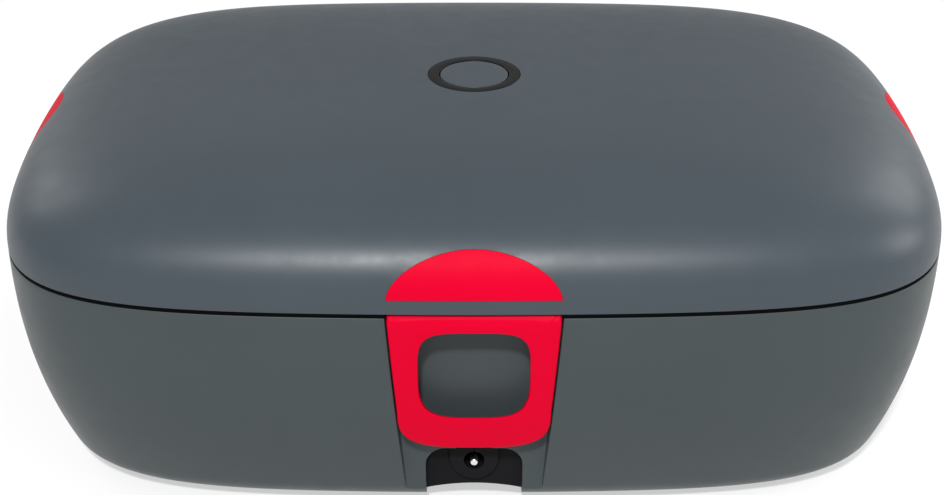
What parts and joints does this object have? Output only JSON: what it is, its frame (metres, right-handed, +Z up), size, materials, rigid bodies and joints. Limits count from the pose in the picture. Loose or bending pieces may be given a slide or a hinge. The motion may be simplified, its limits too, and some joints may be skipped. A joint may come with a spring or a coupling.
{
  "type": "electric lunch box",
  "caption": "Rounded electric lunch box: domed lid on a rear hinge, flip-up clips with finger windows, push button, heated well with lift-out dish and a power inlet.",
  "frame": {"origin": "under the middle of the whole outline, on the surface that the feet stand on", "axes": "+X along the length, to the right seen from the front; +Y to the rear hinge; +Z up"},
  "size_m": [0.26, 0.1902, 0.0955],
  "materials": {
    "grey_shell": "satin moulded",
    "dark_plastic": "fine texture",
    "rubber": "matte",
    "screw_steel": "plated",
    "pan_aluminium": "drawn",
    "foil_amber": "polyimide foil",
    "fibre": "needled fibre",
    "black_plastic": "moulded",
    "cell_can": "shrink-wrapped can",
    "board_green": "solder mask",
    "pin_steel": "polished",
    "lead_red": "insulated lead",
    "lead_black": "insulated lead",
    "dish_steel": "brushed inside",
    "clear_cover": "frosted",
    "silicone_red": "silicone",
    "foam": "expanded bead foam",
    "red_plastic": "smooth satin",
    "gloss_black": "polished",
    "switch_white": "moulded"
  },
  "bodies": {
    "base": {"base_shell": "grey_shell", "bottom_cover": "dark_plastic", "rubber_feet": "rubber", "cover_screws": "screw_steel", "inner_deck": "dark_plastic", "deck_screws": "screw_steel", "heating_pan": "pan_aluminium", "heater_foil": "foil_amber", "insulation_pad": "fibre", "thermal_fuse": "screw_steel", "pan_sensor": "black_plastic", "battery_tray": "dark_plastic", "battery_cells": "cell_can", "cell_straps": "screw_steel", "protection_board": "board_green", "main_board": "board_green", "board_screws": "screw_steel", "dc_socket": "black_plastic", "dc_pin": "pin_steel", "heater_leads": "lead_red", "battery_leads": "lead_black", "hinge_pins": "pin_steel", "dish": "dish_steel", "dish_cover": "clear_cover", "dish_seal": "silicone_red", "vent_plug": "silicone_red"},
    "lid": {"lid_shell": "grey_shell", "lid_liner": "dark_plastic", "lid_foam": "foam", "lid_gasket": "rubber", "liner_screws": "screw_steel", "front_inlay": "red_plastic", "left_inlay": "red_plastic", "right_inlay": "red_plastic", "button_ring": "gloss_black", "button_board": "board_green", "button_screws": "screw_steel", "clip_pins": "pin_steel"},
    "power_button": {"button_cap": "grey_shell", "switch_plunger": "switch_white"},
    "front_clip": {"front_clip": "red_plastic"},
    "left_clip": {"left_clip": "red_plastic"},
    "right_clip": {"right_clip": "red_plastic"}
  },
  "joints": [
    {"name": "lid_hinge", "type": "hinge", "parent": "base", "child": "lid", "pos_m": [0, 0.09106, 0.0555], "axis": [-1, 0, 0], "range_deg": [0, 100]},
    {"name": "front_clip_pivot", "type": "hinge", "parent": "lid", "child": "front_clip", "pos_m": [0, -0.09247, 0.0649], "axis": [-1, 0, 0], "range_deg": [0, 90]},
    {"name": "left_clip_pivot", "type": "hinge", "parent": "lid", "child": "left_clip", "pos_m": [-0.1274, 0.00294, 0.0649], "axis": [0, 1, 0], "range_deg": [0, 90]},
    {"name": "right_clip_pivot", "type": "hinge", "parent": "lid", "child": "right_clip", "pos_m": [0.1274, 0.00294, 0.0649], "axis": [0, -1, 0], "range_deg": [0, 90]},
    {"name": "button_press", "type": "slide", "parent": "lid", "child": "power_button", "axis": [0, 0, -1], "range_m": [0, 0.0005], "stiffness_N_per_m": 1500}
  ]
}
